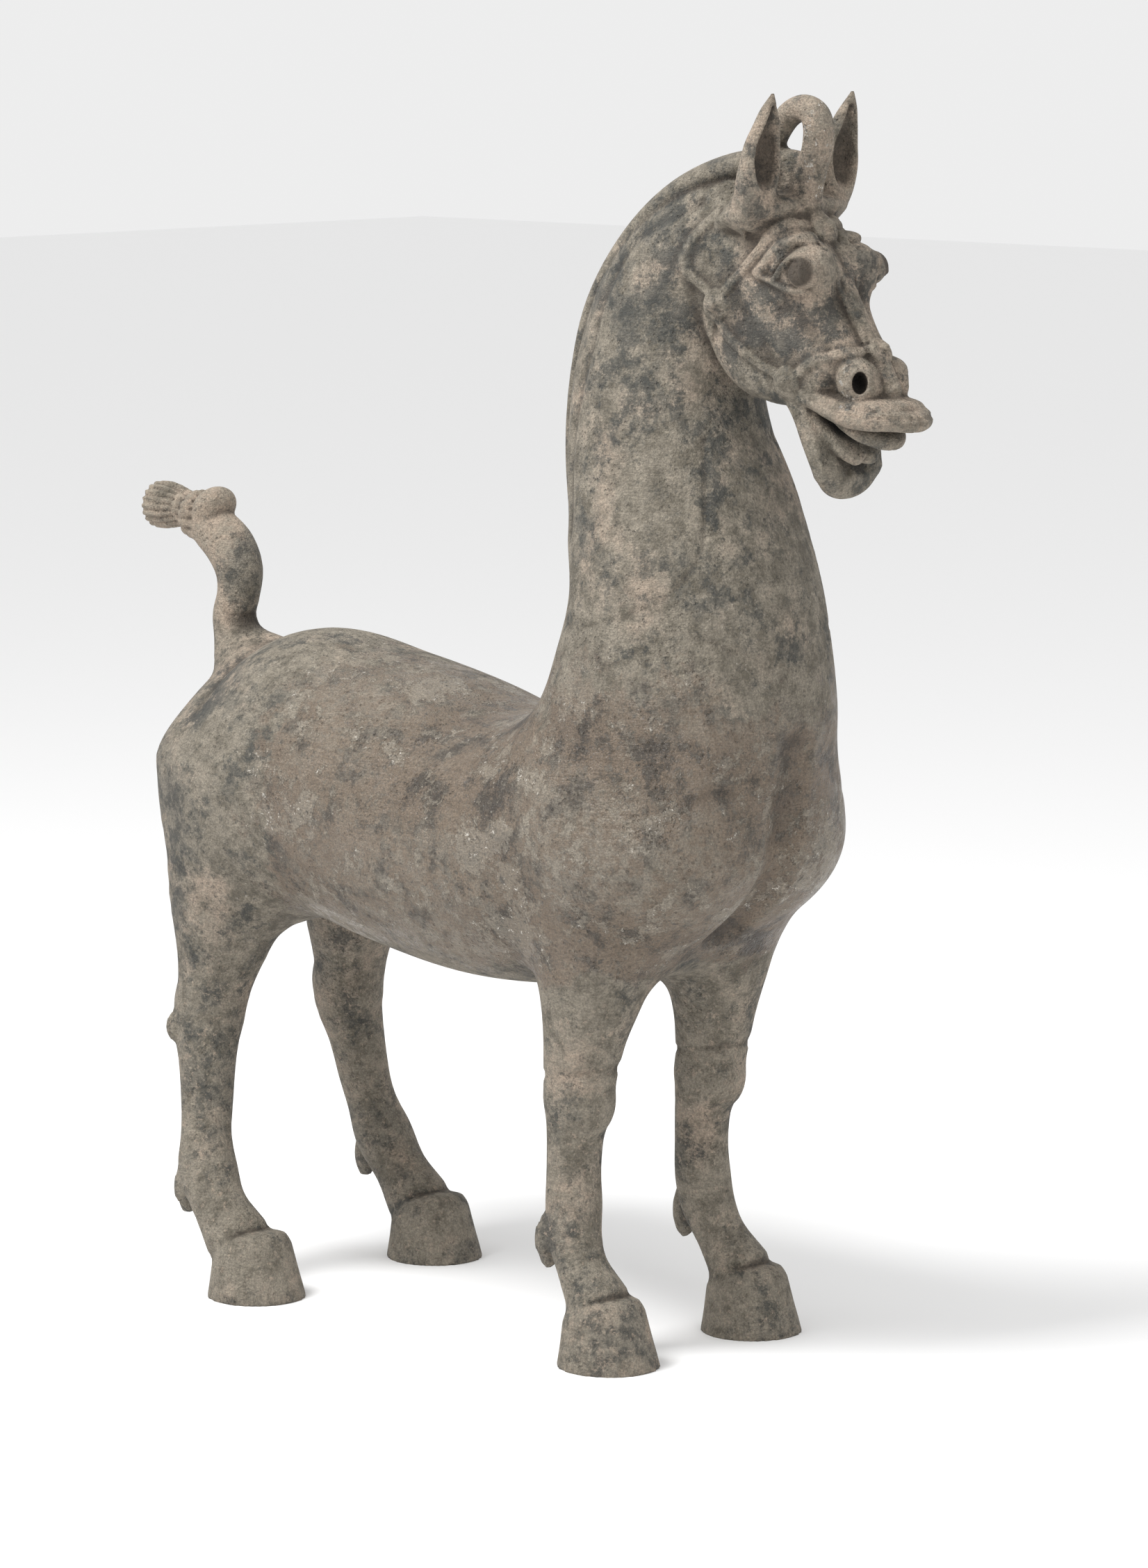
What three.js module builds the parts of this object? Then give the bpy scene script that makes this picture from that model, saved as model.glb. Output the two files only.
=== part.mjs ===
// A standing pottery horse with a high arched neck, a looped forelock and an open mouth.
// It is one fired piece, so it is one solid. Millimetres, +Z up, +X the way the horse faces.
// The form is a blend of rounded masses, each placed in thousandths of the figure's height.

import * as THREE from "three";
import { edgeTable, triTable } from "three/addons/objects/MarchingCubes.js";

// Driving dimension: from the ground to the tip of the ears.
const figureHeight = 1150;

// How closely the solid follows the form: cell sizes in thousandths of the height, and a triangle count.
const headCell = 3;
const bodyCell = 8;
const triangleCount = 9400;

const clayColour = 0x857c6e;

const { abs, max, min, sqrt } = Math;
const hypot = (a, b, c) => sqrt(a * a + b * b + c * c);

// Rounded masses. Each returns the distance from a point to its surface, negative inside.

const lerp = (a, b, t) => a + (b - a) * t;

function boxOf(points, reach) {
  const box = new THREE.Box3().setFromPoints(points).expandByScalar(reach);
  return [...box.min.toArray(), ...box.max.toArray()];
}

function boxDistance(box, x, y, z) {
  return hypot(
    max(box[0] - x, 0, x - box[3]),
    max(box[1] - y, 0, y - box[4]),
    max(box[2] - z, 0, z - box[5]),
  );
}

// A limb swept along a smooth path. A station is [x, y, z, side, right, left]: its centre, its half width
// across the horse, and how far it reaches to each hand of someone who walks the path upright on the
// page, seen from the horse's right side. Left is the same as right where it isn't given.
function limb(stations, { steps = 3, round = 2, tip = 1 } = {}) {
  const centres = stations.map((s) => new THREE.Vector3(s[0], s[1], s[2]));
  const reaches = stations.map((s) => new THREE.Vector3(s[3], s[4], s[5] ?? s[4]));
  const path = new THREE.CatmullRomCurve3(centres);
  const girth = new THREE.CatmullRomCurve3(reaches, false, "catmullrom", 0.5);
  const count = steps * (stations.length - 1);
  const points = [];
  const rows = [];
  for (let i = 0; i <= count; i++) {
    const t = i / count;
    const c = path.getPoint(t);
    const g = girth.getPoint(t);
    const ahead = path.getTangent(t);
    const across = new THREE.Vector3(0, 1, 0).addScaledVector(ahead, -ahead.y).normalize();
    const fore = new THREE.Vector3().crossVectors(across, ahead);
    points.push(c);
    rows.push([...c.toArray(), ...across.toArray(), ...fore.toArray(), ...ahead.toArray(), ...g.toArray()]);
  }
  const reach = max(...reaches.map((r) => max(r.x, r.y, r.z)));
  const distance = (x, y, z) => {
    let best = Infinity;
    let at = 0;
    let part = 0;
    for (let i = 0; i < count; i++) {
      const a = points[i];
      const b = points[i + 1];
      const dx = b.x - a.x;
      const dy = b.y - a.y;
      const dz = b.z - a.z;
      const raw = ((x - a.x) * dx + (y - a.y) * dy + (z - a.z) * dz) / (dx * dx + dy * dy + dz * dz);
      const t = min(max(raw, 0), 1);
      const gap = hypot(x - a.x - t * dx, y - a.y - t * dy, z - a.z - t * dz);
      if (gap < best) {
        best = gap;
        at = i;
        part = t;
      }
    }
    const p = rows[at];
    const q = rows[at + 1];
    const rx = x - lerp(p[0], q[0], part);
    const ry = y - lerp(p[1], q[1], part);
    const rz = z - lerp(p[2], q[2], part);
    const u = rx * lerp(p[3], q[3], part) + ry * lerp(p[4], q[4], part) + rz * lerp(p[5], q[5], part);
    const v = rx * lerp(p[6], q[6], part) + ry * lerp(p[7], q[7], part) + rz * lerp(p[8], q[8], part);
    const w = rx * lerp(p[9], q[9], part) + ry * lerp(p[10], q[10], part) + rz * lerp(p[11], q[11], part);
    const side = lerp(p[12], q[12], part);
    const deep = v > 0 ? lerp(p[13], q[13], part) : lerp(p[14], q[14], part);
    return squashed(u, v, w, side, deep, tip * min(side, deep), round);
  };
  return { box: boxOf(points, reach), distance };
}

// Distance to an ellipsoid about the origin, or to a squarer form where round is over 2.
function squashed(u, v, w, a, b, c, round) {
  const e = round / 2;
  const s = (u / a) ** 2 + 1e-9;
  const t = (v / b) ** 2 + 1e-9;
  const sum = e === 1 ? s + t : s ** e + t ** e;
  const ring = e === 1 ? sum : sum ** (1 / e);
  const size = sqrt(ring + (w / c) ** 2);
  if (size < 1e-3) return -min(a, b);
  const gu = (((ring / sum) * (e === 1 ? 1 : s ** (e - 1))) * u) / (a * a);
  const gv = (((ring / sum) * (e === 1 ? 1 : t ** (e - 1))) * v) / (b * b);
  return (size * (size - 1)) / hypot(gu, gv, w / (c * c));
}

// An ellipsoid with its half sizes along x, y and z, turned by degrees about each axis in that order.
function ball(centre, half, turn = [0, 0, 0], round = 2) {
  const angles = turn.map((t) => (t * Math.PI) / 180);
  const m = new THREE.Matrix4().makeRotationFromEuler(new THREE.Euler(...angles)).elements;
  const distance = (x, y, z) => {
    const dx = x - centre[0];
    const dy = y - centre[1];
    const dz = z - centre[2];
    const u = dx * m[0] + dy * m[1] + dz * m[2];
    const v = dx * m[4] + dy * m[5] + dz * m[6];
    const w = dx * m[8] + dy * m[9] + dz * m[10];
    return squashed(u, v, w, half[0], half[1], half[2], round);
  };
  return { box: boxOf([new THREE.Vector3(...centre)], max(...half) * (round > 2 ? 1.3 : 1)), distance };
}

// Distance to a polyline. A flat one leaves the point's y out.
function lineDistance(points, flat) {
  return (x, y, z) => {
    let best = Infinity;
    for (let i = 1; i < points.length; i++) {
      const a = points[i - 1];
      const b = points[i];
      const dx = b.x - a.x;
      const dy = b.y - a.y;
      const dz = b.z - a.z;
      const ry = flat ? 0 : y - a.y;
      const raw = ((x - a.x) * dx + ry * dy + (z - a.z) * dz) / (dx * dx + dy * dy + dz * dz);
      const t = min(max(raw, 0), 1);
      best = min(best, hypot(x - a.x - t * dx, ry - t * dy, z - a.z - t * dz));
    }
    return best;
  };
}

const stepsAlongLine = 4;
const sideFrom = 20;
const sideTo = 200;

// A line laid on the clay as it is so far, for raised straps and incised lines.
function line(places) {
  const path = new THREE.CatmullRomCurve3(places.map((p) => new THREE.Vector3(...p)));
  const points = path.getPoints(stepsAlongLine * places.length);
  const feel = 0.5;
  for (const p of points)
    for (let tries = 0; tries < 4; tries++) {
      const d = clay(p.x, p.y, p.z);
      const slope = new THREE.Vector3(
        clay(p.x + feel, p.y, p.z) - d,
        clay(p.x, p.y + feel, p.z) - d,
        clay(p.x, p.y, p.z + feel) - d,
      ).divideScalar(feel);
      p.addScaledVector(slope, -d / max(slope.lengthSq(), 0.2));
    }
  return { box: boxOf(points, 0), distance: lineDistance(points, false) };
}

// A line drawn on the horse's sides from its x and z, as deep in y as the clay is there.
function sideLine(places) {
  const path = new THREE.CatmullRomCurve3(places.map(([x, z]) => new THREE.Vector3(x, 0, z)));
  const points = path.getPoints(stepsAlongLine * places.length);
  const box = boxOf(points, 0);
  box[1] = sideFrom;
  box[4] = sideTo;
  return { box, distance: lineDistance(points, true) };
}

// What each mass does to the clay so far: it is added or cut with a soft seam, or it draws a raised
// or sunken line. Masses given for one side stand on both unless they cross the middle.

const work = [];

function soften(a, b, seam) {
  const h = max(seam - abs(a - b), 0) / seam;
  return min(a, b) - (h * h * seam) / 4;
}

const add = (mass, seam) => work.push({ mass, seam, kind: "add" });
const cut = (mass, seam) => work.push({ mass, seam, kind: "cut" });
const draw = (mass, width, rise) => work.push({ mass, width, rise, seam: width, kind: "draw" });

function clay(x, wholeY, z) {
  const y = abs(wholeY);
  let d = 1e3;
  for (const { mass, seam, kind, width, rise } of work) {
    const far = boxDistance(mass.box, x, y, z);
    if (kind === "add" && far > d + seam) continue;
    if (kind !== "add" && far > seam + max(0, -d)) continue;
    const e = mass.distance(x, y, z);
    if (kind === "add") d = soften(d, e, seam);
    if (kind === "cut") d = -soften(-d, e, seam);
    if (kind === "draw" && e < width) d -= rise * (1 - (e / width) ** 2) ** 2;
  }
  return d;
}

// The head hangs from the brow: down runs along the nose, back runs from the nose to the throat.
const brow = { x: 314, z: 893 };
const noseLean = 32.7;
const downX = Math.sin((noseLean * Math.PI) / 180);
const downZ = Math.cos((noseLean * Math.PI) / 180);

function face(down, back, side = 0) {
  return [brow.x + down * downX - back * downZ, side, brow.z - down * downZ - back * downX];
}

const faceTurn = [0, -noseLean, 0];

function trunk() {
  // Rump to shoulder: the right hand is the belly and the left hand is the back.
  add(limb([
    [-296, 0, 424, 93, 82, 98],
    [-243, 0, 422, 119, 112, 123],
    [-170, 0, 414, 129, 108, 120],
    [-90, 0, 402, 133, 112, 116],
    [-10, 0, 396, 136, 116, 102],
    [70, 0, 402, 135, 117, 104],
    [140, 0, 412, 128, 114, 110],
  ], { steps: 5, round: 2.15, tip: 0.66 }), 1);
}

function neckAndChest() {
  add(limb([
    [160, 0, 430, 126, 112, 106],
    [172, 0, 520, 115, 121, 101],
    [178, 0, 600, 102, 105, 87],
    [173, 0, 660, 91, 89, 92],
    [159, 0, 720, 77, 79, 86],
    [157, 0, 775, 67, 74, 79],
    [171, 0, 830, 58, 70, 70],
    [206, 0, 872, 50, 58, 60],
    [252, 0, 897, 42, 46, 46],
  ], { steps: 9, round: 2.1, tip: 0.5 }), 46);
  // The two breasts hang over the forelegs.
  add(ball([183, 50, 414], [75, 73, 65], [0, 10, 8]), 56);
  draw(line([[322, 0, 486], [300, 0, 430], [268, 0, 372], [225, 0, 325]]), 22, -12);
}

function mane() {
  add(limb([
    [78, 4, 585, 12, 12, 12],
    [72, 6, 650, 14, 12, 12],
    [70, 8, 715, 16, 12, 12],
    [79, 9, 775, 19, 12, 12],
    [99, 10, 830, 22, 12, 12],
    [138, 10, 882, 24, 12, 12],
    [186, 10, 919, 25, 12, 12],
    [234, 8, 938, 24, 12, 12],
    [268, 4, 942, 20, 12, 12],
  ], { steps: 4, tip: 0.6 }), 4);
}

function foreleg() {
  add(limb([
    [150, 61, 380, 56, 66, 60],
    [144, 69, 335, 50, 55, 54],
    [139, 73, 290, 41, 41, 42],
    [135, 76, 258, 33, 32, 34],
    [131, 77, 225, 29, 28, 30],
    [130, 76, 203, 28, 29, 27],
    [125, 75, 180, 23, 23, 23],
    [123, 75, 150, 21.5, 21.5, 22],
    [124, 76, 122, 22.5, 22.5, 23],
    [128, 79, 98, 22, 22, 21],
    [139, 82, 75, 21, 20, 19],
    [158, 84, 50, 26, 25, 24],
  ], { tip: 0.5 }), 26);
  add(ball([148, 77, 206], [12, 20, 24]), 3);
  spur([102, 80, 92], [0, 4, 0]);
  hoof(170, 84.4);
}

function hindLeg() {
  add(limb([
    [-250, 54, 415, 77, 100, 100],
    [-260, 64, 362, 66, 77, 74],
    [-269, 74, 318, 48, 58, 51],
    [-277, 76, 280, 38, 42, 36],
    [-283, 79, 250, 31, 33, 29],
    [-291, 82, 218, 29, 27, 32],
    [-286, 87, 186, 24, 23, 25],
    [-281, 92, 150, 21.5, 21.5, 22],
    [-277, 97, 126, 21, 21, 21.5],
    [-269, 103, 98, 25, 24, 25],
    [-252, 106, 70, 23, 21, 23],
    [-232, 106, 47, 28, 25, 27],
  ], { tip: 0.5 }), 30);
  // The point of the hock, and the small oval raised on its outer side.
  add(ball([-313, 80, 233], [11, 12, 22]), 12);
  add(ball([-306, 107, 214], [8, 4, 12]), 2);
  spur([-290, 104, 82], [0, 8, 0]);
  hoof(-209, 104.6);
}

// The tuft behind a fetlock, cut off square below.
function spur(centre, turn) {
  add(ball(centre, [12, 9, 25], turn), 5);
  add(ball([centre[0] + 8, centre[1] + 17, centre[2] + 4], [8, 4, 16], turn), 2);
}

// A hoof with its wall sloping out to the ground and a ledge where the pastern enters.
function hoof(x, y) {
  add(limb([
    [x - 6, y, 47, 29, 30, 30],
    [x - 5, y, 41, 32, 33, 33],
    [x - 3, y, 20, 36, 37, 37],
    [x - 1, y, 0, 40, 42, 41],
    [x, y, -12, 42, 44, 43],
  ], { tip: 0.25 }), 3);
}

function tail() {
  add(limb([
    [-312, 0, 500, 44, 44, 44],
    [-334, 0, 528, 22, 22, 24],
    [-340, 0, 548, 18, 18, 19],
    [-335, 0, 566, 18, 18, 18],
    [-334, 0, 586, 20, 20, 20],
    [-344, 0, 604, 21, 21, 21],
    [-361, 0, 617, 20, 20, 20],
    [-378, 0, 626, 18, 18, 18],
  ]), 12);
  // The tail is bound: two wraps of the knot, then the cut end of the hair.
  add(ball([-364, 0, 637], [14, 21, 19], [0, 35, 0]), 4);
  add(ball([-384, 0, 630], [11, 21, 21], [0, 10, 0]), 4);
  add(limb([
    [-392, 0, 632, 15, 15, 15],
    [-404, 0, 634, 17, 17, 17],
    [-418, 0, 635, 20, 20, 20],
    [-432, 0, 635, 20, 20, 20],
  ], { tip: 0.3 }), 4);
}

function skull() {
  // The cheeks are a deep flat-sided plate with a rounded rear edge.
  add(limb([
    [...face(-36, 82), 43, 30, 22],
    [...face(-18, 74), 46, 42, 34],
    [...face(6, 70), 47, 48, 38],
    [...face(30, 70), 47, 53, 38],
    [...face(50, 68), 46, 54, 36],
    [...face(68, 60), 43, 48, 34],
    [...face(86, 50), 41, 39, 28],
    [...face(104, 40), 39, 27, 24],
  ], { round: 4, tip: 0.6 }), 8);
  // The brow is as broad as the cheeks, and the face narrows from it to the muzzle.
  add(limb([
    [...face(-16, 38), 40, 40, 34],
    [...face(6, 34), 44, 40, 33],
    [...face(28, 32), 43, 36, 30],
    [...face(48, 30), 37, 34, 25],
    [...face(72, 27), 30, 28, 20],
    [...face(100, 24), 27, 24, 17],
    [...face(134, 20), 26, 20, 15],
  ], { round: 2.9, tip: 0.5 }), 12);
  // The flat strip down the nose.
  add(limb([
    [...face(2, 8), 11, 8, 8],
    [...face(40, 7), 10, 8, 8],
    [...face(80, 7), 9, 8, 8],
    [...face(107, 7), 8, 8, 8],
    [...face(138, 8), 8, 8, 8],
  ], { round: 3, tip: 0.6 }), 2);
  // The cheekbone.
  draw(sideLine([[274, 854], [283, 843], [291, 831], [299, 820], [307, 808]]), 11, 1.4);
}

function eye() {
  add(ball(face(27, 10, 28), [19, 17, 21], faceTurn), 18);
  // The socket, the eyeball and the folds round them.
  cut(ball(face(32, 10, 53), [11, 9, 11], faceTurn), 3);
  add(ball(face(32, 10, 36), [11.5, 12.5, 11.5], faceTurn), 1);
  const outerRoll = [[286, 862], [295, 874], [305, 884], [314, 890], [324, 890], [331, 885]];
  const innerRoll = [[300, 860], [307, 868], [314, 880], [323, 884], [330, 879]];
  const upperLid = [[303, 857], [308, 863], [316, 873], [325, 875], [330, 868], [331, 858]];
  const lowerLid = [[288, 858], [303, 854], [316, 849], [326, 848]];
  draw(sideLine(outerRoll), 6, 2.4);
  draw(sideLine(innerRoll), 3.6, 2.2);
  draw(sideLine(upperLid), 3.2, 2.4);
  draw(sideLine(lowerLid), 3.2, 2);
}

function ear() {
  add(limb([
    [277, 39, 901, 14, 8, 25],
    [280, 42, 909, 15.5, 9, 21],
    [284, 44, 918, 17.5, 11, 17],
    [286, 45, 927, 18.5, 12, 16],
    [289, 45, 940, 19, 11, 15],
    [291, 45, 956, 17, 10, 12],
    [295, 45, 970, 12.5, 9, 10],
    [299, 46, 983, 7.5, 5, 7.5],
    [302, 46, 996, 1.5, 1.5, 1.5],
  ], { tip: 0.8 }), 8);
  cut(limb([
    [301, 45, 921, 8, 8, 5],
    [302, 45, 931, 12.5, 12, 15],
    [303, 45, 943, 15, 12, 19],
    [304, 45, 957, 14, 12, 17],
    [305, 45, 970, 9.5, 10, 12],
    [305, 45, 985, 3.5, 8, 6],
  ], { tip: 0.9 }), 1.5);
}

// The forelock is drawn up and bent back over itself, which leaves a small hole under it.
function forelock() {
  add(limb([
    [294, 0, 894, 17, 17, 18],
    [296, 0, 912, 13, 12, 13],
    [298, 0, 925, 11.5, 11.5, 11.5],
    [302, 0, 940, 12, 11.5, 11.5],
    [307, 0, 956, 12.5, 11.5, 11.5],
    [308, 0, 970, 12.5, 11.5, 11.5],
    [304, 0, 980, 12, 11, 11],
    [294, 0, 984.5, 11, 10.5, 10.5],
    [281, 0, 981, 10, 10, 10],
    [267, 0, 967, 10, 10, 10],
    [257, 0, 949, 11, 11, 11],
    [250, 0, 928, 13, 13, 13],
  ]), 6);
  add(limb([
    [276, 0, 896, 15, 30, 30],
    [277, 0, 922, 11, 27, 27],
    [278, 0, 947, 9, 22, 22],
  ], { tip: 0.7 }), 5);
  // The cap of hair that the ears and the forelock stand on.
  add(ball([270, 0, 904], [36, 55, 13], [0, -14, 0], 3), 5);
}

function nostril() {
  add(ball([368, 21, 782], [14, 18, 18], [0, 0, 44]), 5);
  // The flared rim, then the hole in it.
  cut(ball([382.5, 35, 781.5], [9, 12, 14], [0, 0, 44]), 1.5);
  cut(ball([373, 26, 781], [15, 6, 8.5], [0, 0, 44]), 1.5);
}

// The upper lip flares like a bill, with a lower pleat under it.
function lips() {
  add(ball([374, 0, 762], [26, 35, 8]), 5);
  add(limb([
    [318, 31, 772, 9, 7, 7],
    [334, 29, 766, 12, 7, 8],
    [350, 28, 760, 13, 8, 9],
    [366, 27, 756, 14, 9, 10],
    [381, 22, 754, 15, 9, 10],
    [393, 13, 753, 15, 8, 9],
    [400, 0, 752, 15, 8, 8],
  ], { round: 2.4, tip: 0.75 }), 4);
  add(limb([
    [338, 25, 764, 11, 5, 6],
    [350, 23, 757, 12, 5, 8],
    [360, 20, 748, 12, 5, 9],
    [369, 14, 741, 12, 5, 9],
    [375, 7, 738, 12, 6, 8],
    [377, 0, 737, 12, 6, 8],
  ], { round: 2.4, tip: 0.9 }), 1.5);
  const grooves = [
    [[350, 41, 769], [366, 42, 765], [382, 40, 763], [395, 33, 763]],
    [[337, 41, 768], [351, 42, 765], [363, 42, 760], [393, 39, 757], [404, 30, 757], [415, 0, 756]],
  ];
  grooves.forEach((groove) => draw(line(groove), 2.6, -1.8));
}

// The lower lip hangs as a deep spoon, open to the front, with the gum standing in it.
function chin() {
  add(limb([
    [303, 14, 780, 24, 13, 12],
    [320, 14, 758, 25, 12, 12],
    [331, 14, 734, 25, 11, 12],
    [338, 9, 714, 26, 10, 9],
    [341, 0, 703, 25, 10, 9],
    [343, 0, 696, 14, 8, 7],
  ], { round: 2.6, tip: 0.9 }), 5);
  cut(limb([
    [345, 6, 758, 28, 12, 19],
    [351, 6, 740, 28, 12, 20],
    [354, 4, 726, 26, 12, 17],
    [355, 0, 717, 22, 12, 12],
  ], { tip: 0.7 }), 3);
  add(limb([
    [316, 10, 764, 24, 8, 8],
    [332, 10, 747, 23, 8, 8],
    [344, 7, 735, 20, 8, 7],
    [351, 0, 726, 16, 7, 6],
  ], { round: 2.4 }), 3);
  cut(limb([
    [326, 22, 767, 15, 4, 4],
    [341, 21, 755, 15, 3.6, 3.6],
    [352, 18, 744, 14, 3.2, 3.2],
    [360, 12, 735, 13, 3, 3],
  ]), 1);
  const rim = [[326, 40, 766], [333, 39, 748], [339, 38, 730], [343, 33, 714], [346, 24, 702], [347, 12, 695],
     [347, 0, 693]];
  draw(line(rim), 4, 2);
}

// A clay boss of the bridle: a disc with a blunt point.
function boss(place, size, turn, dome = 0.42) {
  const angles = turn.map((t) => (t * Math.PI) / 180);
  const out = new THREE.Vector3(size * dome, 0, 0).applyEuler(new THREE.Euler(...angles));
  const knob = size * 0.38;
  add(ball(place, [size * dome, size, size], turn), 1.5);
  add(ball([place[0] + out.x, place[1] + out.y, place[2] + out.z], [knob, knob, knob]), 2);
}

function bridle() {
  const cheek = face(12, 88, 47);
  const mouth = [313, 39, 780];
  const brow = face(-1, -1, 0);
  const nose = face(106, 0, 0);
  const runs = [
    [brow, [309, 12, 897], [298, 24, 894], [293, 35, 888], [285, 44, 876]],
    [mouth, [325, 40, 788], [335, 39, 795], [351, 34, 801], [361, 24, 805], [367, 12, 806], nose],
    [nose, face(122, -1, 0), face(137, 0, 0)],
  ];
  runs.forEach((run) => draw(line(run), 4.2, 2.4));
  const sideRuns = [
    [[285, 876], [272, 861], [260, 851], [247, 838]],
    [[243, 905], [231, 894], [221, 883], [215, 871], [216, 861], [225, 853], [242, 842]],
    [[246, 828], [256, 814], [270, 803], [288, 792], [306, 784]],
    [[245, 827], [240, 820], [238, 812]],
  ];
  sideRuns.forEach((run) => draw(sideLine(run), 4.2, 2.4));
  boss(cheek, 11, [0, 0, 88]);
  boss(mouth, 12, [0, 0, 80], 0.55);
  boss(brow, 12, faceTurn);
  boss(nose, 10, faceTurn);
}

trunk();
neckAndChest();
foreleg();
hindLeg();
tail();
mane();
const bodyMasses = [...work];
skull();
eye();
nostril();
lips();
chin();
bridle();
forelock();
ear();
const headMasses = work.filter((item) => !bodyMasses.includes(item));

// Turning the form into triangles.

// The room that the added masses take, with a cell to spare all round.
function roomOf(items) {
  const room = new THREE.Box3();
  for (const { mass, kind } of items) {
    if (kind !== "add") continue;
    room.expandByPoint(new THREE.Vector3(...mass.box.slice(0, 3)));
    room.expandByPoint(new THREE.Vector3(...mass.box.slice(3)));
  }
  return room.expandByScalar(bodyCell);
}

// Grid lines from low to high that lie closer together between fineFrom and fineTo.
function gridLines(low, high, fineFrom, fineTo) {
  const lines = [low];
  while (lines.at(-1) < high) {
    const last = lines.at(-1);
    const outside = max(fineFrom - last, last - fineTo, 0);
    lines.push(last + min(bodyCell, headCell + outside * 0.12));
  }
  return lines;
}

const corners = [[0, 0, 0], [1, 0, 0], [1, 1, 0], [0, 1, 0], [0, 0, 1], [1, 0, 1], [1, 1, 1], [0, 1, 1]];
const edgeEnds = [
  [0, 1], [1, 2], [3, 2], [0, 3], [4, 5], [5, 6], [7, 6], [4, 7], [0, 4], [1, 5], [2, 6], [3, 7],
];

// Marching cubes over a rectilinear grid. Returns vertex positions and triangles that share vertices.
function surface(xs, ys, zs) {
  const [nx, ny, nz] = [xs.length, ys.length, zs.length];
  const index = (i, j, k) => i + nx * (j + ny * k);
  const value = new Float64Array(nx * ny * nz).fill(1e3);
  const coarse = 3;
  for (let k = 0; k < nz; k += coarse)
    for (let j = 0; j < ny; j += coarse)
      for (let i = 0; i < nx; i += coarse) {
        const to = [min(i + coarse, nx), min(j + coarse, ny), min(k + coarse, nz)];
        const half = [xs[to[0] - 1] - xs[i], ys[to[1] - 1] - ys[j], zs[to[2] - 1] - zs[k]].map((s) => s / 2);
        const middle = clay(xs[i] + half[0], ys[j] + half[1], zs[k] + half[2]);
        const reach = 1.25 * hypot(...half) + 4;
        for (let c = k; c < to[2]; c++)
          for (let b = j; b < to[1]; b++)
            for (let a = i; a < to[0]; a++)
              value[index(a, b, c)] =
                zs[c] < 0 ? 1e12 : abs(middle) > reach ? middle : clay(xs[a], ys[b], zs[c]) || 1e-6;
      }
  const axes = [xs, ys, zs];
  const vertexOf = new Map();
  const positions = [];
  const triangles = [];
  const vertexOn = (i, j, k, edge) => {
    const [p, q] = edgeEnds[edge].map((c) => corners[c].map((o, m) => o + [i, j, k][m]));
    const [ip, iq] = [index(...p), index(...q)];
    const axis = [0, 1, 2].find((m) => p[m] !== q[m]);
    const key = 3 * min(ip, iq) + axis;
    if (!vertexOf.has(key)) {
      const t = value[ip] / (value[ip] - value[iq]);
      vertexOf.set(key, positions.length / 3);
      positions.push(...p.map((o, m) => lerp(axes[m][o], axes[m][q[m]], t)));
    }
    return vertexOf.get(key);
  };
  for (let k = 0; k + 1 < nz; k++)
    for (let j = 0; j + 1 < ny; j++)
      for (let i = 0; i + 1 < nx; i++) {
        let inside = 0;
        for (let c = 0; c < 8; c++) {
          const o = corners[c];
          if (value[index(i + o[0], j + o[1], k + o[2])] < 0) inside |= 1 << c;
        }
        if (!edgeTable[inside]) continue;
        for (let t = inside * 16; triTable[t] !== -1; t += 3) {
          const corner = [0, 1, 2].map((m) => vertexOn(i, j, k, triTable[t + m]));
          triangles.push(corner[0], corner[2], corner[1]);
        }
      }
  return { positions, triangles };
}

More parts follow.
